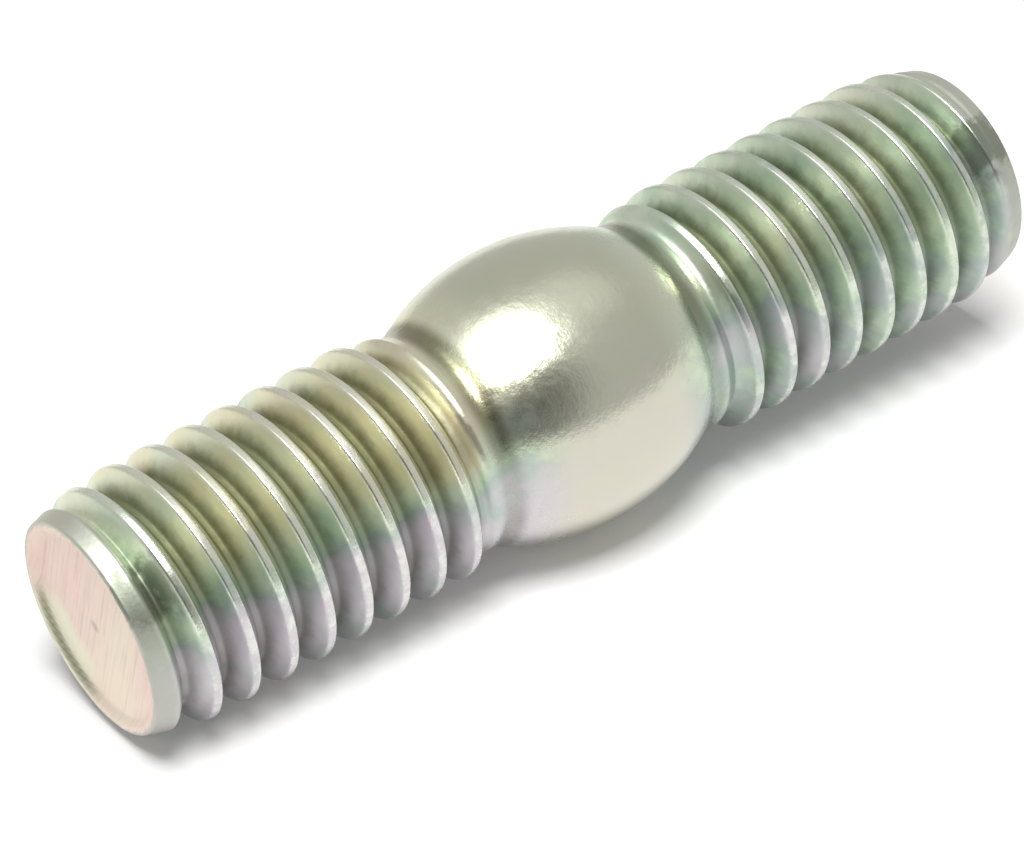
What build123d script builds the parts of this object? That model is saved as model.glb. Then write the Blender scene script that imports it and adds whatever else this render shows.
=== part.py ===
from build123d import *
import math
import os

# A double ended stud, rolled from one steel blank: two equal right-hand threads with
# a short neck and an upset barrel between them. It stands on its lower end, with its
# axis along +Z. Sizes are in millimetres and angles in degrees.

overall_length = 25.0
thread_diameter = 6.0  # over the crests, a metric coarse M6
thread_pitch = 1.0
thread_start_angle = 176.0  # where round the barrel the upper thread begins
rolled_height = 0.3  # how far rolling raises the crests above the neck
run_out_length = 1.1  # over which a thread grows out of its neck
point_length = 1.8  # over which the crests fall away towards an end face
point_drop = 0.4  # how far the crests have fallen at an end face
bare_length = 0.35  # of the point, where the dies left no groove
fade_length = 0.45  # over which the groove fades away before it
neck_length = 0.05  # plain neck between the barrel's fillet and the thread
barrel_diameter = 7.0
barrel_length = 5.8  # where the barrel's curve meets the line of the necks
barrel_fillet = 0.35
fillet_sink = 0.01  # how far the fillet runs into the neck, so that the two cross

# The metric thread form: flanks at 60 degrees with flat crests. Below half its depth the
# groove closes to a V, which ends at the depth of the rounded root that the dies leave.
flank_half_angle = 30.0
crest_share = 1 / 8  # of the pitch
depth_share = 17 / 24  # of the height of the sharp triangle
sharp_height = thread_pitch / 2 / math.tan(math.radians(flank_half_angle))
crest_width = thread_pitch * crest_share
thread_depth = sharp_height * depth_share
flank_width = thread_depth / 2 * math.tan(math.radians(flank_half_angle))
root_width = (thread_pitch - crest_width) / 2 - flank_width

points_per_turn = 16  # that each helical edge is drawn through

crest_radius = thread_diameter / 2
root_radius = crest_radius - thread_depth
neck_radius = crest_radius - rolled_height
barrel_radius = barrel_diameter / 2
half_length = overall_length / 2

# The barrel's side is an arc through its widest circle and the line of the necks,
# and a fillet rounds the corner between the two.
barrel_rise = barrel_radius - neck_radius
side_radius = (barrel_length**2 / 4 + barrel_rise**2) / (2 * barrel_rise)
side_centre = barrel_radius - side_radius
fillet_centre = neck_radius - fillet_sink + barrel_fillet
centre_distance = side_radius + barrel_fillet
fillet_angle = math.degrees(math.acos((fillet_centre - side_centre) / centre_distance))

# Heights above the middle of the stud. The ridge winds its first turn inside the
# barrel, level with the neck, so that the thread can start close to the barrel.
neck_start = centre_distance * math.sin(math.radians(fillet_angle))
thread_start = neck_start + neck_length
first_turn = thread_start - thread_pitch
shank_start = first_turn / 2
point_start = half_length - point_length
fade_start = half_length - bare_length - fade_length


def rise(share):
    """A smooth step from 0 to 1."""
    return (1 - math.cos(math.pi * min(max(share, 0), 1))) / 2


def share_for(height):
    """The share at which rise() has come up to this height."""
    return math.acos(1 - 2 * height) / math.pi


# The crests fall as far as the roots only beyond the end face, which cuts them off.
fall_length = point_length / share_for(point_drop / thread_depth)


def crest_radius_at(height):
    grown = rolled_height * rise((height - thread_start) / run_out_length)
    fallen = thread_depth * rise((height - point_start) / fall_length)
    return neck_radius + grown - fallen


def root_radius_at(height):
    cut = (neck_radius - root_radius) * rise((height - thread_start) / run_out_length)
    rolled = neck_radius - cut
    faded = rise((height - fade_start) / fade_length)
    return rolled + (crest_radius_at(height) - rolled) * faded


def middle_radius_at(height):
    return (root_radius_at(height) + crest_radius_at(height)) / 2


# The five edges of one turn of the ridge, by their height in the turn.
ridge_edges = [
    (0, root_radius_at),
    (root_width, middle_radius_at),
    (root_width + flank_width, crest_radius_at),
    (root_width + flank_width + crest_width, crest_radius_at),
    (thread_pitch - root_width, middle_radius_at),
]


def helical_edge(edge, turn):
    """One edge of the ridge, once round the stud."""
    offset, radius_at = ridge_edges[edge]
    points = []
    for step in range(points_per_turn + 1):
        share = step / points_per_turn
        height = first_turn + offset + thread_pitch * (turn + share)
        radius = radius_at(height)
        angle = 2 * math.pi * share
        points.append((radius * math.cos(angle), radius * math.sin(angle), height))
    return Edge.make_spline([Vector(*point) for point in points])


def closing_circle(radius, height):
    return Edge.make_circle(radius, Plane.XY.offset(height))


def threaded_shank():
    """The upper thread, on its own piece of neck, cut off square at the end face."""
    turns = math.ceil((point_start + fall_length - first_turn) / thread_pitch) + 1
    edges = [helical_edge(edge, turn) for turn in range(turns) for edge in range(len(ridge_edges))]
    top = closing_circle(root_radius, first_turn + thread_pitch * (turns + 1))
    bottom = closing_circle(neck_radius, shank_start)
    loops = [bottom] + edges + [top]
    strips = [Face.make_surface_from_curves(low, high) for low, high in zip(loops, loops[1:])]
    discs = [Face(Wire([bottom])), Face(Wire([top]))]
    shank = Solid(Shell(strips + discs)).rotate(Axis.Z, thread_start_angle)
    kept = Cylinder(thread_diameter, half_length, align=(Align.CENTER, Align.CENTER, Align.MIN))
    return shank & kept


def upper_blank():
    """The upper half of the barrel, with its fillet, as far as the start of the neck."""
    with BuildSketch(Plane.XZ) as section:
        with BuildLine():
            side = CenterArc((side_centre, 0), side_radius, 0, fillet_angle)
            fillet_start = 180 + fillet_angle
            fillet_arc = CenterArc((fillet_centre, neck_start), barrel_fillet, fillet_start, -fillet_angle)
            Polyline(fillet_arc @ 1, (0, neck_start), (0, 0), side @ 0)
        make_face()
    return revolve(section.sketch, axis=Axis.Z)


def stud():
    half = upper_blank() + threaded_shank()
    return (half + half.rotate(Axis.X, 180)).moved(Location((0, 0, half_length)))


os.makedirs("parts", exist_ok=True)
export_step(stud(), "parts/stud.step")
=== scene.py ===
import bpy
import math
from mathutils import Matrix, Vector


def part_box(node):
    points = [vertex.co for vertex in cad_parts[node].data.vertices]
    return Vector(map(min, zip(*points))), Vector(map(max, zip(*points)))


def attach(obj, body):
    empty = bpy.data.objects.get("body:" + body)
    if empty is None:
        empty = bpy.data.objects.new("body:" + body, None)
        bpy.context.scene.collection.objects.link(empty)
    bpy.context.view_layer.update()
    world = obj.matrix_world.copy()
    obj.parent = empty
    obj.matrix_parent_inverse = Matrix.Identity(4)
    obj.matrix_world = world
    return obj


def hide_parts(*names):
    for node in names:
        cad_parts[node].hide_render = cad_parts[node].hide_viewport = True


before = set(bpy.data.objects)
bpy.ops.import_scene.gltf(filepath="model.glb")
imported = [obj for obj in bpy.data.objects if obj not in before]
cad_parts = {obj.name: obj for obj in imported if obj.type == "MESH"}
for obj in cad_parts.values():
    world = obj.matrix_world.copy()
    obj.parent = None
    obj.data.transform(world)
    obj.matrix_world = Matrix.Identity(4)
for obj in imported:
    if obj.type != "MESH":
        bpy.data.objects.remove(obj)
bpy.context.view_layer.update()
mm = 0.001


# Adds one node, sets its own settings, and feeds its sockets from values or from other sockets.
# A colour ramp also gets its stops, each a spot and a colour.
def addNode(tree, kind, settings=None, feeds=None, stops=()):
    node = tree.nodes.new(kind)
    for name, value in (settings or {}).items():
        setattr(node, name, value)
    for index, (spot, colour) in enumerate(stops):
        stop = node.color_ramp.elements[index] if index < 2 else node.color_ramp.elements.new(spot)
        stop.position, stop.color = spot, colour
    for socket, value in (feeds or {}).items():
        if isinstance(value, bpy.types.NodeSocket):
            tree.links.new(value, node.inputs[socket])
        else:
            node.inputs[socket].default_value = value
    return node


# Works a list of steps into nodes of the kind that is given. Each step is: result, operation, terms.
# A term is a number, the name of an earlier result, or a size from the group input.
def addSteps(tree, known, kind, steps):
    for result, operation, *terms in steps:
        feeds = {place: known.get(term, term) for place, term in enumerate(terms)}
        known[result] = addNode(tree, kind, {"operation": operation}, feeds).outputs[0]


# A smooth change from 0 to 1 while a share goes from 0 to 1, as math steps.
def easedStep(result, share):
    return [
        (result + "Clamped", "MINIMUM", share, 1.0),
        (result + "Open", "MAXIMUM", result + "Clamped", 0.0),
        (result + "Angle", "MULTIPLY", result + "Open", math.pi),
        (result + "Cosine", "COSINE", result + "Angle"),
        (result, "MULTIPLY_ADD", result + "Cosine", -0.5, 0.5),
    ]


# An sRGB hex colour, made linear.
def srgb(hexColour, alpha=1.0):
    parts = [int(hexColour[i:i + 2], 16) / 255 for i in (0, 2, 4)]
    return [p / 12.92 if p <= 0.04045 else ((p + 0.055) / 1.055) ** 2.4 for p in parts] + [alpha]


# The stud, as rolled: both threads, the necks, the upset barrel and the cupped ends are one
# skin. Its rows follow the helix, so that crests and roots lie along edges of the mesh.
low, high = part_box("stud")
studBody = {
    "overallLength": (high[2] - low[2]) / mm,
    "barrelRadius": min(-low[0], high[0], -low[1], high[1]) / mm,
    "crestRadius": 3.0,
    "threadDepth": 0.6134,
    "pitch": 1.0,
    "crestWidth": 0.18,
    "flankWidth": 0.325,
    "crestRounding": 0.12,  # as a share of a flank, as the next one is
    "rootRounding": 0.2,
    "rolledHeight": 0.3,  # of the crests over the neck
    "threadStart": 3.0623,  # from the middle, just past the barrel's foot
    "runOut": 1.1,  # over which a thread grows out of its neck
    "startAngle": 176.0,  # degrees round the stud
    "pointLength": 1.8,  # over which the crests fall away
    "pointDrop": 0.4,  # how far they have fallen at an end face
    "fadeLength": 0.45,  # over which the groove fades away before the bare point
    "bareLength": 0.35,
    "barrelLength": 5.8,  # where the barrel's arc meets the line of the necks
    "barrelBlend": 0.15,  # how softly the barrel's foot runs into the neck
    "rimRounding": 0.09,
    "lipWidth": 0.1,  # rolling pushes the skin out past the core, so an end is cupped inside a lip
    "cupWidth": 0.22,  # of the wall round the cup
    "cupDepth": 0.16,
    "faceStretch": 3.0,  # rows on an end face are this much wider than on the thread
    "rowsPerPitch": 44,
    "facesRound": 72,
    "seamGap": 0.002,  # points closer than this are one, along the seam and at the poles
}


# The sizes as the tree takes them. Some go in only as what is worked out from them.
def studInputs():
    size = dict(studBody)
    rise = size["barrelRadius"] - (size["crestRadius"] - size["rolledHeight"])
    size["barrelSideRadius"] = (size.pop("barrelLength") ** 2 / 4 + rise ** 2) / (2 * rise)
    fallShare = math.acos(1 - 2 * size.pop("pointDrop") / size["threadDepth"]) / math.pi
    size["pointFall"] = size["pointLength"] / fallShare
    faceRows = size["rimRounding"] * math.pi / 2 + size["crestRadius"] / size["faceStretch"]
    span = size["overallLength"] + 2 * faceRows + size["pitch"]
    rowsPerPitch = size.pop("rowsPerPitch")
    size["rows"] = math.ceil(span / size["pitch"] * rowsPerPitch) + 1
    size["rowSpan"] = (size["rows"] - 1) * size["pitch"] / rowsPerPitch
    size["columns"] = size.pop("facesRound") + 1
    return size


def makeStudTree(size, finish):
    tree = bpy.data.node_groups.new("rolledStud", "GeometryNodeTree")
    for way in ("INPUT", "OUTPUT"):
        tree.interface.new_socket("Geometry", in_out=way, socket_type="NodeSocketGeometry")
    for name, value in size.items():
        kind = "NodeSocketInt" if isinstance(value, int) else "NodeSocketFloat"
        tree.interface.new_socket(name, in_out="INPUT", socket_type=kind)
    given = addNode(tree, "NodeGroupInput")
    known = {name: given.outputs[name] for name in size}
    grid = addNode(tree, "GeometryNodeMeshGrid", {}, {
        "Size X": known["rowSpan"], "Size Y": 1.0,
        "Vertices X": known["rows"], "Vertices Y": known["columns"]})
    position = addNode(tree, "GeometryNodeInputPosition").outputs[0]
    place = addNode(tree, "ShaderNodeSeparateXYZ", {}, {0: position})
    known["row"], known["acrossGrid"] = place.outputs[0], place.outputs[1]
    addSteps(tree, known, "ShaderNodeMath", [
        # Where a point lies: round the stud, and above or below its middle.
        ("around", "ADD", "acrossGrid", 0.5),
        ("climb", "MULTIPLY", "acrossGrid", "pitch"),
        ("height", "ADD", "row", "climb"),
        ("side", "SIGN", "height"),
        ("away", "ABSOLUTE", "height"),
        ("halfLength", "MULTIPLY", "overallLength", 0.5),
        ("sideEnd", "SUBTRACT", "halfLength", "rimRounding"),
        ("reach", "MINIMUM", "away", "sideEnd"),
        ("beyond", "SUBTRACT", "away", "sideEnd"),
        # How far the point is from the middle of the nearest crest.
        ("crestMiddle", "MULTIPLY", "pitch", 0.5),
        ("startRow", "SUBTRACT", "threadStart", "pitch"),
        ("firstCrest", "ADD", "startRow", "crestMiddle"),
        ("travel", "SUBTRACT", "reach", "firstCrest"),
        ("travelTurns", "DIVIDE", "travel", "pitch"),
        ("startTurn", "DIVIDE", "startAngle", 360.0),
        ("aroundSide", "MULTIPLY", "around", "side"),
        ("turned", "SUBTRACT", "aroundSide", "startTurn"),
        ("turns", "SUBTRACT", "travelTurns", "turned"),
        ("wholeTurns", "ROUND", "turns"),
        ("fromCrest", "SUBTRACT", "turns", "wholeTurns"),
        ("distance", "ABSOLUTE", "fromCrest"),
        ("distanceInPitch", "MULTIPLY", "distance", "pitch"),
        # The thread form, from 0 in the root to 1 on the crest.
        ("ridgeFoot", "MULTIPLY_ADD", "crestWidth", 0.5, "flankWidth"),
        ("toFoot", "SUBTRACT", "ridgeFoot", "distanceInPitch"),
        ("flank", "DIVIDE", "toFoot", "flankWidth"),
        ("crestForm", "SMOOTH_MIN", "flank", 1.0, "crestRounding"),
        ("threadForm", "SMOOTH_MAX", "crestForm", 0.0, "rootRounding"),
        # The thread grows out of the neck, and its crests fall away at the point.
        ("neckRadius", "SUBTRACT", "crestRadius", "rolledHeight"),
        ("rootRadius", "SUBTRACT", "crestRadius", "threadDepth"),
        ("intoThread", "SUBTRACT", "reach", "threadStart"),
        ("growShare", "DIVIDE", "intoThread", "runOut"),
        *easedStep("grown", "growShare"),
        ("pointStart", "SUBTRACT", "halfLength", "pointLength"),
        ("intoPoint", "SUBTRACT", "reach", "pointStart"),
        ("fallShare", "DIVIDE", "intoPoint", "pointFall"),
        *easedStep("fallen", "fallShare"),
        ("fall", "MULTIPLY", "fallen", "threadDepth"),
        ("crestRaised", "MULTIPLY_ADD", "rolledHeight", "grown", "neckRadius"),
        ("crestHere", "SUBTRACT", "crestRaised", "fall"),
        ("rootDrop", "SUBTRACT", "neckRadius", "rootRadius"),
        ("rootCut", "MULTIPLY", "rootDrop", "grown"),
        ("rootRolled", "SUBTRACT", "neckRadius", "rootCut"),
        ("fadeEnd", "SUBTRACT", "halfLength", "bareLength"),
        ("fadeStart", "SUBTRACT", "fadeEnd", "fadeLength"),
        ("intoFade", "SUBTRACT", "reach", "fadeStart"),
        ("fadeShare", "DIVIDE", "intoFade", "fadeLength"),
        *easedStep("faded", "fadeShare"),
        ("toCrest", "SUBTRACT", "crestHere", "rootRolled"),
        ("rootHere", "MULTIPLY_ADD", "toCrest", "faded", "rootRolled"),
        ("ridge", "SUBTRACT", "crestHere", "rootHere"),
        ("threadRadius", "MULTIPLY_ADD", "ridge", "threadForm", "rootHere"),
        # The barrel is an arc, which blends into the neck.
        ("sideSquare", "MULTIPLY", "barrelSideRadius", "barrelSideRadius"),
        ("reachSquare", "MULTIPLY", "reach", "reach"),
        ("chordSquare", "SUBTRACT", "sideSquare", "reachSquare"),
        ("chordOpen", "MAXIMUM", "chordSquare", 0.0),
        ("chord", "SQRT", "chordOpen"),
        ("sideCentre", "SUBTRACT", "barrelRadius", "barrelSideRadius"),
        ("barrelHere", "ADD", "sideCentre", "chord"),
        ("sideSkin", "SMOOTH_MAX", "threadRadius", "barrelHere", "barrelBlend"),
        # An end: round over the rim, across the lip, then down into the cup.
        ("rimArc", "MULTIPLY", "rimRounding", math.pi / 2),
        ("rimShare", "DIVIDE", "beyond", "rimArc"),
        ("rimClamped", "MINIMUM", "rimShare", 1.0),
        ("rimOpen", "MAXIMUM", "rimClamped", 0.0),
        ("rimAngle", "MULTIPLY", "rimOpen", math.pi / 2),
        ("rimSine", "SINE", "rimAngle"),
        ("rimCosine", "COSINE", "rimAngle"),
        ("rimIn", "SUBTRACT", 1.0, "rimCosine"),
        ("rimInward", "MULTIPLY", "rimIn", "rimRounding"),
        ("rimOutward", "MULTIPLY", "rimSine", "rimRounding"),
        ("pastRim", "SUBTRACT", "beyond", "rimArc"),
        ("pastRimOpen", "MAXIMUM", "pastRim", 0.0),
        ("faceInward", "MULTIPLY", "pastRimOpen", "faceStretch"),
        ("rimmed", "SUBTRACT", "sideSkin", "rimInward"),
        ("faced", "SUBTRACT", "rimmed", "faceInward"),
        ("radius", "MAXIMUM", "faced", 0.0),
        ("intoCup", "SUBTRACT", "faceInward", "lipWidth"),
        ("cupShare", "DIVIDE", "intoCup", "cupWidth"),
        *easedStep("sunkShare", "cupShare"),
        ("cup", "MULTIPLY", "sunkShare", "cupDepth"),
        ("cupWall", "SINE", "sunkShareAngle"),
        ("rimHeight", "ADD", "reach", "rimOutward"),
        ("skinHeight", "SUBTRACT", "rimHeight", "cup"),
        ("signedHeight", "MULTIPLY", "skinHeight", "side"),
        ("angle", "MULTIPLY", "around", 2 * math.pi),
        ("cosine", "COSINE", "angle"),
        ("sine", "SINE", "angle"),
        ("x", "MULTIPLY", "radius", "cosine"),
        ("y", "MULTIPLY", "radius", "sine"),
        ("z", "ADD", "signedHeight", "halfLength"),
        ("mergeGap", "MULTIPLY", "seamGap", mm),
        # How deep in the thread the point is: 0 on a crest, the barrel or a face, 1 in a full root.
        ("below", "SUBTRACT", "crestHere", "sideSkin"),
        ("grooveShare", "DIVIDE", "below", "threadDepth"),
        ("grooveOpen", "MAXIMUM", "grooveShare", 0.0),
        ("onFace", "GREATER_THAN", "beyond", 0.0),
        ("offFace", "SUBTRACT", 1.0, "onFace"),
        ("grooveDepth", "MULTIPLY", "grooveOpen", "offFace"),
        ("endFace", "GREATER_THAN", "pastRim", 0.0),
    ])
    point = addNode(tree, "ShaderNodeCombineXYZ", {}, {0: known["x"], 1: known["y"], 2: known["z"]})
    metres = addNode(tree, "ShaderNodeVectorMath", {"operation": "SCALE"}, {0: point.outputs[0], "Scale": mm})
    marked = grid.outputs["Mesh"]
    for mark in ("grooveDepth", "endFace", "cupWall"):
        marks = addNode(tree, "GeometryNodeStoreNamedAttribute", {"data_type": "FLOAT", "domain": "POINT"}, {
            "Geometry": marked, "Name": mark, "Value": known[mark]})
        marked = marks.outputs["Geometry"]
    skin = addNode(tree, "GeometryNodeSetPosition", {}, {"Geometry": marked, "Position": metres.outputs[0]})
    closed = addNode(tree, "GeometryNodeMergeByDistance", {}, {
        "Geometry": skin.outputs[0], "Distance": known["mergeGap"]})
    # Rolled up along the helix, the grid's faces point inwards, so they are turned round.
    outward = addNode(tree, "GeometryNodeFlipFaces", {}, {"Mesh": closed.outputs[0]})
    smooth = addNode(tree, "GeometryNodeSetShadeSmooth", {}, {
        "Geometry": outward.outputs[0], "Shade Smooth": True})
    real = addNode(tree, "GeometryNodeRealizeInstances", {}, {"Geometry": smooth.outputs[0]})
    dressed = addNode(tree, "GeometryNodeSetMaterial", {}, {"Geometry": real.outputs[0], "Material": finish})
    addNode(tree, "NodeGroupOutput", {}, {0: dressed.outputs[0]})
    return tree


# Runs a tree on an empty mesh and keeps the result as a plain object.
def growPiece(name, tree, size):
    seed = bpy.data.objects.new(name + "Seed", bpy.data.meshes.new(name + "Seed"))
    bpy.context.scene.collection.objects.link(seed)
    growth = seed.modifiers.new("growth", "NODES")
    growth.node_group = tree
    for socket in tree.interface.items_tree:
        if socket.in_out == "INPUT" and socket.name in size:
            growth[socket.identifier] = size[socket.name]
    seed.update_tag()
    depsgraph = bpy.context.evaluated_depsgraph_get()
    mesh = bpy.data.meshes.new_from_object(seed.evaluated_get(depsgraph), depsgraph=depsgraph)
    seed.modifiers.clear()
    bpy.data.objects.remove(seed)
    piece = bpy.data.objects.new(name, mesh)
    bpy.context.scene.collection.objects.link(piece)
    return piece


# Bright zinc electroplate with a yellow-green iridescent passivation, on rolled steel. The eye
# sees a soft metal gloss, a film whose tint drifts from gold through green and teal to lilac as
# it thickens, rubbed, brighter crests, and painted shade in the roots and at the barrel's foot.
plating = {
    "filmTints": [(0.28, "DCD4BC"), (0.42, "E4E1C4"), (0.6, "DCE3CF"), (0.76, "C3D3BC"),
                  (0.87, "B2BEB8"), (1.0, "CCC6CC")],  # by thickness, from gold to lilac
    "filmAlong": [(0.0, 0.64), (0.2, 0.7), (0.38, 0.62), (0.62, 0.42), (0.76, 0.43),
                  (0.88, 0.54), (1.0, 0.6)],  # thickness by place along the stud
    "filmLow": [(0.0, 0.88), (0.4, 0.86), (0.6, 1.0), (1.0, 1.0)],  # the same on the low side
    "topSide": 110.0,  # degrees round the stud, and the low side is opposite
    "filmDrift": 0.75,  # how far the patches move the film's thickness
    "lowDrift": 0.35,  # how far they move the low side's edge
    "filmSpeckle": 0.16,  # how far the specks move the thickness
    "barrelColour": "CED0BA",
    "barrelLow": "CECABE",
    "barrelPatch": 0.7,  # how far the patches mix the two, and then the specks
    "barrelSpeckle": 0.5,
    "pointColour": "B8B6AE",  # on the bare point, where the dies did not polish the skin
    "pointShade": 0.7,
    "darkReflectionColour": "78806F",  # a painted dark reflection on the point, on the side that faces the camera
    "darkReflectionShade": 0.7,
    "darkReflectionSide": 70.0,  # degrees round the stud
    "darkReflectionBreak": 0.14,  # how far the specks break its edge
    "rootTone": "868872",  # the colour a root is multiplied by: painted shade deep in the groove
    "rootShade": 0.95,
    "lowSideShadeCut": 0.62,  # how much less painted shade the roots get on the low side, which faces the white sheet
    "contactShadowShare": 0.3,  # how much painted shade comes back along the very lowest line, where the contact shadow falls
    "cornerShade": 0.8,  # painted shade in the corner at the barrel's foot, as in a root
    "cornerPlace": 0.117,  # share of the length from the middle
    "cornerReach": (0.004, 0.017),  # shares of the length, over which it fades out
    "edgeBreak": 0.36,  # how far the specks break the edges of dark roots and rubbed crests
    "wornColour": "ECEBE4",
    "wear": 0.8,
    "faceColour": "EAD5CD",
    "faceStreak": "EADFD0",
    "faceShade": "B4A498",
    # Also the colour of the small pit in the middle of a face; on the cup's wall it is painted shade.
    "pitAndArcShadeColour": "7F7D64",
    "darkArcSide": 246.0,  # degrees round the stud, where painted shade darkens the cup's wall
    "darkArcShade": 0.85,
    "haloColour": "E8E8D2",  # a paler band beside that painted shade
    "haloReach": (1.0, 1.7),  # mm from the middle of a face, over which it fades in
    "centreMark": (0.08, 0.2),  # mm from the middle of a face, over which a small pit fades out
    "centreShade": 0.3,
    # Patterns by the size of one spot in mm, and how much finer detail is laid over it: film
    # patches, specks, and the grain of the plate.
    "patterns": [("patches", 2.6, 3.0), ("speckle", 0.35, 4.0), ("grain", 0.14, 2.0)],
    "patternRoughness": 0.6,
    # Lines by their turn and their size each way in mm: the dies' lines, the shear's and its streaks.
    # The grain and the dies' lines are finer on a real stud, and as coarse here as they need to show.
    "lines": [("rollLines", 0.0, (3.0, 3.0, 0.07)), ("shearLines", 25.0, (0.09, 2.4, 1.0)),
              ("faceStreaks", 25.0, (2.0, 8.0, 1.0))],
    "lineDetail": 2.0,
    # Heights of the relief in mm, from the lowest to the highest of each pattern.
    "grainHeight": 0.0045,
    "peelHeight": 0.006,
    "rollHeight": 0.0016,
    "shearHeight": 0.007,
    # The roughness, how far patches and specks move it, and what each place adds to it.
    "roughness": 0.28,
    "roughnessSpread": 0.14,
    "roughnessSpeckle": 0.2,
    "rootDullness": 0.4,
    "faceDullness": 0.12,
    "pointDullness": 0.22,
    "wornDullness": -0.08,
    "barrelDullness": -0.065,
    # Where along the stud, by share of its length from the middle, each of these fades in.
    "zones": [("offBarrel", 0.05, 0.11), ("onRidge", 0.14, 0.18), ("byPoint", 0.445, 0.465),
              ("onPoint", 0.468, 0.486)],
    # Where the other marks start to show, and where they show fully.
    "lowFade": (0.08, 0.44),  # of the way from the top side to the low side
    "contactShadowFade": (0.45, 0.64),
    "rubFade": (0.06, -0.1),  # of the groove's depth
    "rootShadeFade": (0.3, 1.0),
    "darkReflectionFade": (0.95, 0.99),  # cosine of the angle from its middle
    "darkArcFade": (0.72, 0.95),
    "streakFade": (0.36, 0.7),  # level of its own pattern of lines
    "tornFade": (0.45, 0.8),
    "tornShade": 0.28,
}


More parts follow.
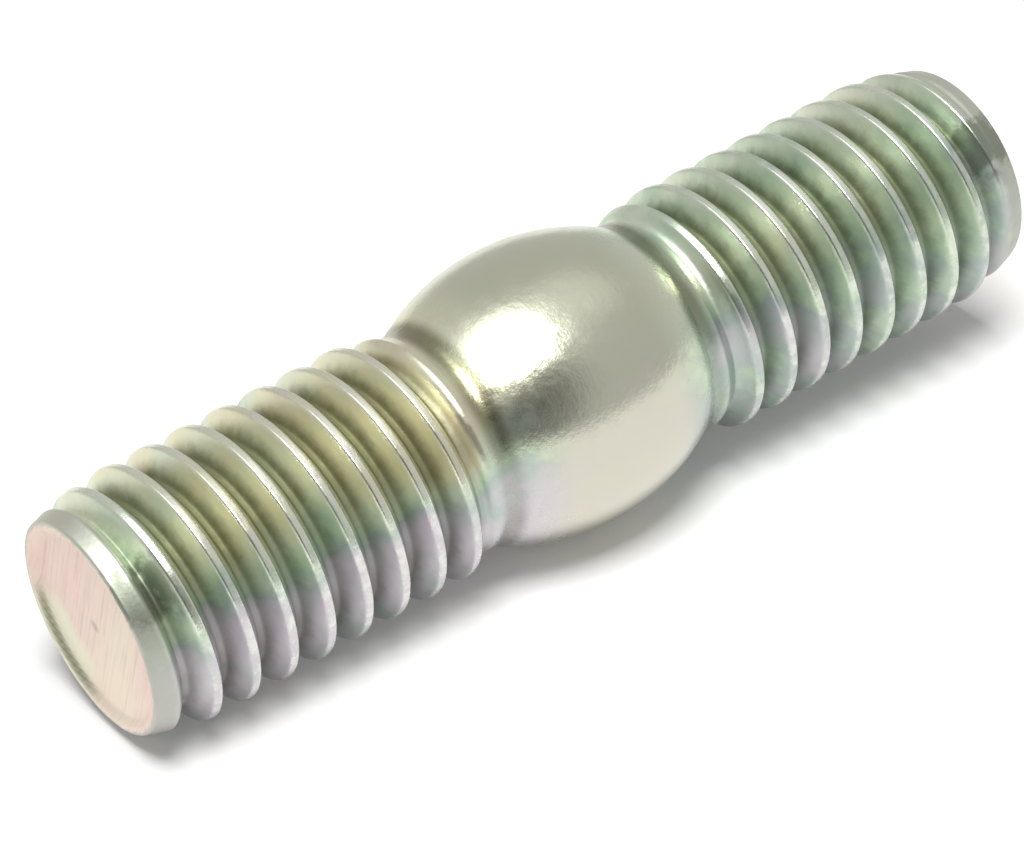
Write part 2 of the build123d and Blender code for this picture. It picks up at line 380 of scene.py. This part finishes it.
def makePlating(length):
    material = bpy.data.materials.new("zincPlatedSteelRolledPassivated")
    material.use_nodes = True
    tree = material.node_tree
    shader = tree.nodes["Principled BSDF"]
    shader.inputs["Metallic"].default_value = 1.0
    eased = {"interpolation_type": "SMOOTHSTEP"}
    coloured = {"data_type": "RGBA"}
    place = addNode(tree, "ShaderNodeTexCoord").outputs["Object"]
    axes = addNode(tree, "ShaderNodeSeparateXYZ", {}, {0: place})
    known = {"x": axes.outputs["X"], "y": axes.outputs["Y"], "z": axes.outputs["Z"]}
    for mark in ("grooveDepth", "endFace", "cupWall"):
        known[mark] = addNode(tree, "ShaderNodeAttribute", {"attribute_name": mark}).outputs["Fac"]
    for pattern, size, detail in plating["patterns"]:
        known[pattern] = addNode(tree, "ShaderNodeTexNoise", {}, {
            "Vector": place, "Scale": 1 / (size * mm), "Detail": detail,
            "Roughness": plating["patternRoughness"]}).outputs["Fac"]
    for pattern, turn, sizes in plating["lines"]:
        lie = addNode(tree, "ShaderNodeMapping", {}, {
            "Vector": place, "Rotation": (0, 0, math.radians(turn)),
            "Scale": [1 / (size * mm) for size in sizes]})
        known[pattern] = addNode(tree, "ShaderNodeTexNoise", {}, {
            "Vector": lie.outputs[0], "Scale": 1.0, "Detail": plating["lineDetail"]}).outputs["Fac"]

    # How thick the film is: its own level along the stud, and thicker on the low side.
    addSteps(tree, known, "ShaderNodeMath", [
        ("along", "DIVIDE", "z", length * mm),
        ("fromMiddle", "SUBTRACT", "along", 0.5),
        ("offMiddle", "ABSOLUTE", "fromMiddle"),
        ("angle", "ARCTAN2", "y", "x"),
        ("fromTop", "SUBTRACT", "angle", math.radians(plating["topSide"])),
        ("topShare", "COSINE", "fromTop"),
        ("sunk", "MULTIPLY_ADD", "topShare", -0.5, 0.5),
        ("drift", "SUBTRACT", "patches", 0.5),
        ("sunkHere", "MULTIPLY_ADD", "drift", plating["lowDrift"], "sunk"),
    ])
    for result, levels in (("level", "filmAlong"), ("lowLevel", "filmLow")):
        greys = [(spot, (value, value, value, 1)) for spot, value in plating[levels]]
        known[result] = addNode(tree, "ShaderNodeValToRGB", {}, {"Fac": known["along"]}, greys).outputs[0]
    lowStart, lowEnd = plating["lowFade"]
    known["low"] = addNode(tree, "ShaderNodeMapRange", eased, {
        "Value": known["sunkHere"], 1: lowStart, 2: lowEnd}).outputs[0]
    addSteps(tree, known, "ShaderNodeMath", [
        ("toLow", "SUBTRACT", "lowLevel", "level"),
        ("raised", "MULTIPLY_ADD", "toLow", "low", "level"),
        ("drifted", "MULTIPLY_ADD", "drift", plating["filmDrift"], "raised"),
        ("speckled", "SUBTRACT", "speckle", 0.5),
        ("film", "MULTIPLY_ADD", "speckled", plating["filmSpeckle"], "drifted"),
        # Roots get painted shade, and crests are rubbed brighter in places.
        ("grooveEdge", "MULTIPLY_ADD", "speckled", plating["edgeBreak"], "grooveDepth"),
    ])
    tint = addNode(tree, "ShaderNodeValToRGB", {}, {"Fac": known["film"]}, [
        (spot, srgb(colour)) for spot, colour in plating["filmTints"]]).outputs[0]
    # Where along the stud: off the barrel, on the full ridges, by the point or on its bare part.
    for result, start, end in plating["zones"]:
        known[result] = addNode(tree, "ShaderNodeMapRange", eased, {
            "Value": known["offMiddle"], 1: start, 2: end}).outputs[0]
    rubStart, rubEnd = plating["rubFade"]
    known["rubbed"] = addNode(tree, "ShaderNodeMapRange", eased, {
        "Value": known["grooveEdge"], 1: rubStart, 2: rubEnd, 3: 0.0, 4: plating["wear"]}).outputs[0]
    addSteps(tree, known, "ShaderNodeMath", [
        ("offPoint", "SUBTRACT", 1.0, "onPoint"),
        ("rubbedRidge", "MULTIPLY", "rubbed", "onRidge"),
        ("worn", "MULTIPLY", "rubbedRidge", "offPoint"),
        ("onBarrel", "SUBTRACT", 1.0, "offBarrel"),
        ("barrelPatches", "MULTIPLY_ADD", "drift", plating["barrelPatch"], "low"),
        ("barrelTurn", "MULTIPLY_ADD", "speckled", plating["barrelSpeckle"], "barrelPatches"),
        ("pointShare", "MULTIPLY", "onPoint", plating["pointShade"]),
        ("fromDarkReflection", "SUBTRACT", "angle", math.radians(plating["darkReflectionSide"])),
        ("darkReflectionShare", "COSINE", "fromDarkReflection"),
        ("darkReflectionEdge", "MULTIPLY_ADD", "speckled", plating["darkReflectionBreak"], "darkReflectionShare"),
    ])
    # A dark patch painted on the point where it faces the camera: a painted dark reflection.
    darkReflectionStart, darkReflectionEnd = plating["darkReflectionFade"]
    known["darkReflected"] = addNode(tree, "ShaderNodeMapRange", eased, {
        "Value": known["darkReflectionEdge"], 1: darkReflectionStart, 2: darkReflectionEnd, 3: 0.0, 4: plating["darkReflectionShade"]}).outputs[0]
    addSteps(tree, known, "ShaderNodeMath", [("paintedDarkReflection", "MULTIPLY", "darkReflected", "byPoint")])
    barrelTint = addNode(tree, "ShaderNodeMix", coloured, {
        0: known["barrelTurn"], 6: srgb(plating["barrelColour"]), 7: srgb(plating["barrelLow"])}).outputs[2]
    # Painted shade in the roots, with less of it on the low side, which faces the white sheet.
    rootShadeStart, rootShadeEnd = plating["rootShadeFade"]
    known["rootPaintedShade"] = addNode(tree, "ShaderNodeMapRange", eased, {
        "Value": known["grooveEdge"], 1: rootShadeStart, 2: rootShadeEnd,
        3: 0.0, 4: plating["rootShade"]}).outputs[0]
    # Painted contact shadow along the very lowest line, where the stud lies on the sheet.
    contactStart, contactEnd = plating["contactShadowFade"]
    known["contactShadow"] = addNode(tree, "ShaderNodeMapRange", eased, {
        "Value": known["sunk"], 1: contactStart, 2: contactEnd, 3: 0.0, 4: plating["contactShadowShare"]}).outputs[0]
    addSteps(tree, known, "ShaderNodeMath", [
        ("lowSideShadeLeft", "MULTIPLY_ADD", "low", -plating["lowSideShadeCut"], 1.0),
        ("paintedShadeLeft", "ADD", "lowSideShadeLeft", "contactShadow"),
        ("rootShare", "MULTIPLY", "rootPaintedShade", "paintedShadeLeft"),
        ("pastCorner", "SUBTRACT", "offMiddle", plating["cornerPlace"]),
        ("fromCorner", "ABSOLUTE", "pastCorner"),
    ])
    # Painted shade in the corner at the barrel's foot, as in a root.
    cornerNear, cornerFar = plating["cornerReach"]
    known["corner"] = addNode(tree, "ShaderNodeMapRange", eased, {
        "Value": known["fromCorner"], 1: cornerFar, 2: cornerNear,
        3: 0.0, 4: plating["cornerShade"]}).outputs[0]
    addSteps(tree, known, "ShaderNodeMath", [
        ("cornerShare", "MULTIPLY", "corner", "paintedShadeLeft"),
        ("shade", "MAXIMUM", "rootShare", "cornerShare"),
    ])

    # An end face: streaks and shear lines across it, a small pit in its middle, painted shade on one
    # side of the cup's wall, and a paler band beside that.
    streakStart, streakEnd = plating["streakFade"]
    streak = addNode(tree, "ShaderNodeMapRange", eased, {
        "Value": known["faceStreaks"], 1: streakStart, 2: streakEnd}).outputs[0]
    tornStart, tornEnd = plating["tornFade"]
    torn = addNode(tree, "ShaderNodeMapRange", eased, {
        "Value": known["shearLines"], 1: tornStart, 2: tornEnd, 3: 0.0, 4: plating["tornShade"]}).outputs[0]
    pitNear, pitFar = plating["centreMark"]
    addSteps(tree, known, "ShaderNodeMath", [
        ("flatSquare", "MULTIPLY", "x", "x"),
        ("acrossSquare", "MULTIPLY_ADD", "y", "y", "flatSquare"),
        ("fromAxis", "SQRT", "acrossSquare"),
        ("fromDarkArc", "SUBTRACT", "angle", math.radians(plating["darkArcSide"])),
        ("darkArcShare", "COSINE", "fromDarkArc"),
    ])
    pit = addNode(tree, "ShaderNodeMapRange", eased, {
        "Value": known["fromAxis"], 1: pitNear * mm, 2: pitFar * mm,
        3: plating["centreShade"], 4: 0.0}).outputs[0]
    # Painted shade on one side of the cup's wall, with a paler band beside it on the face.
    arcStart, arcEnd = plating["darkArcFade"]
    known["darkArcSpot"] = addNode(tree, "ShaderNodeMapRange", eased, {
        "Value": known["darkArcShare"], 1: arcStart, 2: arcEnd,
        3: 0.0, 4: plating["darkArcShade"]}).outputs[0]
    haloNear, haloFar = plating["haloReach"]
    known["outward"] = addNode(tree, "ShaderNodeMapRange", eased, {
        "Value": known["fromAxis"], 1: haloNear * mm, 2: haloFar * mm}).outputs[0]
    addSteps(tree, known, "ShaderNodeMath", [
        ("paintedArcShade", "MULTIPLY", "darkArcSpot", "cupWall"),
        ("halo", "MULTIPLY", "darkArcSpot", "outward"),
    ])
    faceTint = srgb(plating["faceColour"])
    for share, over in ((streak, "faceStreak"), (torn, "faceShade"), (pit, "pitAndArcShadeColour"),
                        (known["halo"], "haloColour"), (known["paintedArcShade"], "pitAndArcShadeColour")):
        faceTint = addNode(tree, "ShaderNodeMix", coloured, {
            0: share, 6: faceTint, 7: srgb(plating[over])}).outputs[2]
    darkened = {"data_type": "RGBA", "blend_type": "MULTIPLY"}
    for manner, share, over in ((coloured, known["onBarrel"], barrelTint),
                                (coloured, known["worn"], srgb(plating["wornColour"])),
                                (coloured, known["pointShare"], srgb(plating["pointColour"])),
                                (coloured, known["paintedDarkReflection"], srgb(plating["darkReflectionColour"])),
                                (darkened, known["shade"], srgb(plating["rootTone"])),
                                (coloured, known["endFace"], faceTint)):
        tint = addNode(tree, "ShaderNodeMix", manner, {0: share, 6: tint, 7: over}).outputs[2]

    # Roughness and relief.
    evenRoughness = plating["roughness"] - plating["roughnessSpread"] / 2
    addSteps(tree, known, "ShaderNodeMath", [
        ("patchRough", "MULTIPLY_ADD", "patches", plating["roughnessSpread"], evenRoughness),
        ("speckRough", "MULTIPLY_ADD", "speckled", plating["roughnessSpeckle"], "patchRough"),
        ("grooveRough", "MULTIPLY_ADD", "grooveDepth", plating["rootDullness"], "speckRough"),
        ("barrelRough", "MULTIPLY_ADD", "onBarrel", plating["barrelDullness"], "grooveRough"),
        ("pointRough", "MULTIPLY_ADD", "onPoint", plating["pointDullness"], "barrelRough"),
        ("ridgeRough", "MULTIPLY_ADD", "worn", plating["wornDullness"], "pointRough"),
        ("wholeRough", "MULTIPLY_ADD", "endFace", plating["faceDullness"], "ridgeRough"),
        ("offFace", "SUBTRACT", 1.0, "endFace"),
        ("peel", "MULTIPLY", "speckle", plating["peelHeight"] * mm),
        ("grainRelief", "MULTIPLY_ADD", "grain", plating["grainHeight"] * mm, "peel"),
        ("sideLines", "MULTIPLY", "rollLines", "offFace"),
        ("withLines", "MULTIPLY_ADD", "sideLines", plating["rollHeight"] * mm, "grainRelief"),
        ("faceLines", "MULTIPLY", "shearLines", "endFace"),
        ("relief", "MULTIPLY_ADD", "faceLines", plating["shearHeight"] * mm, "withLines"),
    ])
    bump = addNode(tree, "ShaderNodeBump", {}, {
        "Strength": 1.0, "Distance": 1.0, "Height": known["relief"]}).outputs[0]  # in metres already
    for socket, source in (("Base Color", tint), ("Roughness", known["wholeRough"]), ("Normal", bump)):
        tree.links.new(source, shader.inputs[socket])
    return material


studFinish = makePlating(studBody["overallLength"])
print("plating:", len(studFinish.node_tree.nodes), "nodes")
studSizes = studInputs()
stud = growPiece("rolledStud", makeStudTree(studSizes, studFinish), studSizes)
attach(stud, "root")
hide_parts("stud")
print("stud:", len(stud.data.vertices), "points,", len(stud.data.polygons), "faces")

# The studio: the stud lies on its barrel and its upper thread on a white sheet, under a soft lamp.
studio = {
    "lens": 136.64,
    "sensorWidth": 36.0,
    "cameraClip": (5.0, 5000.0),
    "cameraPlace": (32.091, 74.158, 51.723),
    "cameraAim": (0.548, -0.233, 13.801),
    "cameraRoll": 118.328,
    "sheetSide": 115.6,  # degrees round the stud, the way the sheet faces
    "sheetWidth": 600.0,
    "sheetGlow": 0.08,
    "sheetColour": "F4F4F2",
    "roomGrey": 0.62,
    "standShade": 0.2,  # how bright the dark camera stand is, against the room
    "standSide": 60.0,  # degrees round the stud
    "standRise": 33.0,  # degrees towards the upper end
    "standInner": 10.0,  # degrees over which the dark stand gives way to the room
    "standOuter": 56.0,
    "glowSide": 122.0,  # degrees round the stud, where a lit wall shows in the metal
    "glowRise": 8.0,
    "glowInner": 3.0,
    "glowOuter": 22.0,
    "glowPower": 2.0,
    "wallSide": 118.0,  # where the pale wall beyond the lower end shows
    "wallRise": -28.0,
    "wallInner": 5.0,
    "wallOuter": 28.0,
    "wallPower": 0.26,
    "roomFill": 0.26,
    "lampSide": 100.0,
    "lampLean": 7.0,  # degrees towards the upper end
    "lampDistance": 400.0,
    "lampWidth": 165.0,
    "lampPower": 1.6,
}


def around(angle, distance, height):
    turn = math.radians(angle)
    return Vector((distance * math.cos(turn), distance * math.sin(turn), height))


def makeCamera():
    data = bpy.data.cameras.new("camera")
    data.lens = studio["lens"]
    data.sensor_width = studio["sensorWidth"]
    data.clip_start, data.clip_end = [reach * mm for reach in studio["cameraClip"]]
    camera = bpy.data.objects.new("camera", data)
    bpy.context.scene.collection.objects.link(camera)
    camera.location = Vector(studio["cameraPlace"]) * mm
    look = Vector(studio["cameraAim"]) - Vector(studio["cameraPlace"])
    roll = Matrix.Rotation(math.radians(-studio["cameraRoll"]), 3, "Z")
    camera.rotation_euler = (look.to_track_quat("-Z", "Y").to_matrix() @ roll).to_euler()
    bpy.context.scene.camera = camera


def makeSheet():
    # The sheet touches the barrel and the last full crest of the upper thread, so it leans a little.
    lastCrest = studBody["overallLength"] / 2 - studBody["pointLength"]
    lean = math.atan((studBody["barrelRadius"] - studBody["crestRadius"]) / lastCrest)
    swell = studSizes["barrelSideRadius"] * (1 / math.cos(lean) - 1)
    straight = around(studio["sheetSide"], 1.0, 0.0)
    facing = around(studio["sheetSide"], math.cos(lean), -math.sin(lean))
    centre = (Vector(low) + Vector(high)) / 2 - straight * (studBody["barrelRadius"] + swell) * mm
    across = Vector((0, 0, 1)).cross(straight)
    along = facing.cross(across)
    half = studio["sheetWidth"] / 2 * mm
    corners = [centre + across * (a * half) + along * (b * half)
               for a, b in ((-1, -1), (1, -1), (1, 1), (-1, 1))]
    mesh = bpy.data.meshes.new("whiteSheet")
    mesh.from_pydata([tuple(c) for c in corners], [], [(0, 1, 2, 3)])
    mesh.update()
    if mesh.polygons[0].normal.dot(facing) < 0:
        mesh.flip_normals()
    sheet = bpy.data.objects.new("whiteSheet", mesh)
    bpy.context.scene.collection.objects.link(sheet)
    # Matt white paper. The camera and reflections see it glow a little, and it is clear from behind.
    material = bpy.data.materials.new("whitePaperSheet")
    material.use_nodes = True
    tree = material.node_tree
    tree.nodes.clear()
    paper = addNode(tree, "ShaderNodeBsdfDiffuse", {}, {"Color": srgb(studio["sheetColour"])})
    glow = addNode(tree, "ShaderNodeEmission", {}, {
        "Color": (1, 1, 1, 1), "Strength": studio["sheetGlow"]})
    path = addNode(tree, "ShaderNodeLightPath")
    seen = addNode(tree, "ShaderNodeMath", {"operation": "MAXIMUM"}, {
        0: path.outputs["Is Camera Ray"], 1: path.outputs["Is Glossy Ray"]})
    seenThrough = addNode(tree, "ShaderNodeMath", {"operation": "MAXIMUM"}, {
        0: seen.outputs[0], 1: path.outputs["Is Transmission Ray"]})
    dark = addNode(tree, "ShaderNodeEmission", {}, {"Strength": 0.0})
    glowing = addNode(tree, "ShaderNodeMixShader", {}, {
        0: seenThrough.outputs[0], 1: dark.outputs[0], 2: glow.outputs[0]})
    front = addNode(tree, "ShaderNodeAddShader", {}, {0: paper.outputs[0], 1: glowing.outputs[0]})
    clear = addNode(tree, "ShaderNodeBsdfTransparent")
    geometry = addNode(tree, "ShaderNodeNewGeometry")
    sided = addNode(tree, "ShaderNodeMixShader", {}, {
        0: geometry.outputs["Backfacing"], 1: front.outputs[0], 2: clear.outputs[0]})
    addNode(tree, "ShaderNodeOutputMaterial", {}, {0: sided.outputs[0]})
    mesh.materials.append(material)


# The camera sees plain white. Reflections see a grey room with a dark stand, a lit wall and a pale
# wall in it, and everything else is lit by an even fill.
def makeRoom():
    world = bpy.data.worlds.new("studioRoom")
    bpy.context.scene.world = world
    world.use_nodes = True
    tree = world.node_tree
    tree.nodes.clear()
    white = addNode(tree, "ShaderNodeBackground", {}, {"Color": (1, 1, 1, 1), "Strength": 1.0})
    fill = addNode(tree, "ShaderNodeBackground", {}, {
        "Color": (1, 1, 1, 1), "Strength": studio["roomFill"]})
    looking = addNode(tree, "ShaderNodeTexCoord").outputs["Generated"]
    patches = []
    for name, outside, inside in (("stand", studio["roomGrey"], studio["roomGrey"] * studio["standShade"]),
                                  ("glow", 0.0, studio["glowPower"]), ("wall", 0.0, studio["wallPower"])):
        rise = math.radians(studio[name + "Rise"])
        toward = around(studio[name + "Side"], math.cos(rise), math.sin(rise))
        nearness = addNode(tree, "ShaderNodeVectorMath", {"operation": "DOT_PRODUCT"}, {
            0: looking, 1: toward})
        patches.append(addNode(tree, "ShaderNodeMapRange", {"interpolation_type": "SMOOTHSTEP"}, {
            "Value": nearness.outputs["Value"], 1: math.cos(math.radians(studio[name + "Outer"])),
            2: math.cos(math.radians(studio[name + "Inner"])), 3: outside, 4: inside}).outputs[0])
    known = dict(zip(("stand", "glow", "wall"), patches))
    addSteps(tree, known, "ShaderNodeMath", [
        ("lights", "ADD", "glow", "wall"),
        ("total", "ADD", "stand", "lights"),
    ])
    reflected = addNode(tree, "ShaderNodeBackground", {}, {
        "Color": (1, 1, 1, 1), "Strength": known["total"]})
    path = addNode(tree, "ShaderNodeLightPath")
    lit = addNode(tree, "ShaderNodeMixShader", {}, {
        0: path.outputs["Is Glossy Ray"], 1: fill.outputs[0], 2: reflected.outputs[0]})
    mixed = addNode(tree, "ShaderNodeMixShader", {}, {
        0: path.outputs["Is Camera Ray"], 1: lit.outputs[0], 2: white.outputs[0]})
    addNode(tree, "ShaderNodeOutputWorld", {}, {0: mixed.outputs[0]})


def makeLamp():
    data = bpy.data.lights.new("softBox", "AREA")
    data.shape = "SQUARE"
    data.size = studio["lampWidth"] * mm
    data.energy = studio["lampPower"]
    lamp = bpy.data.objects.new("softBox", data)
    bpy.context.scene.collection.objects.link(lamp)
    middle = Vector((0, 0, studBody["overallLength"] / 2))
    lean = math.radians(studio["lampLean"])
    reach, rise = studio["lampDistance"] * math.cos(lean), studio["lampDistance"] * math.sin(lean)
    place = middle + around(studio["lampSide"], reach, rise)
    lamp.location = place * mm
    lamp.rotation_euler = (middle - place).to_track_quat("-Z", "Y").to_euler()


makeCamera()
makeSheet()
makeRoom()
makeLamp()
bpy.context.scene.view_settings.view_transform = "Standard"
print("studio: camera, white sheet, room and lamp are in place")
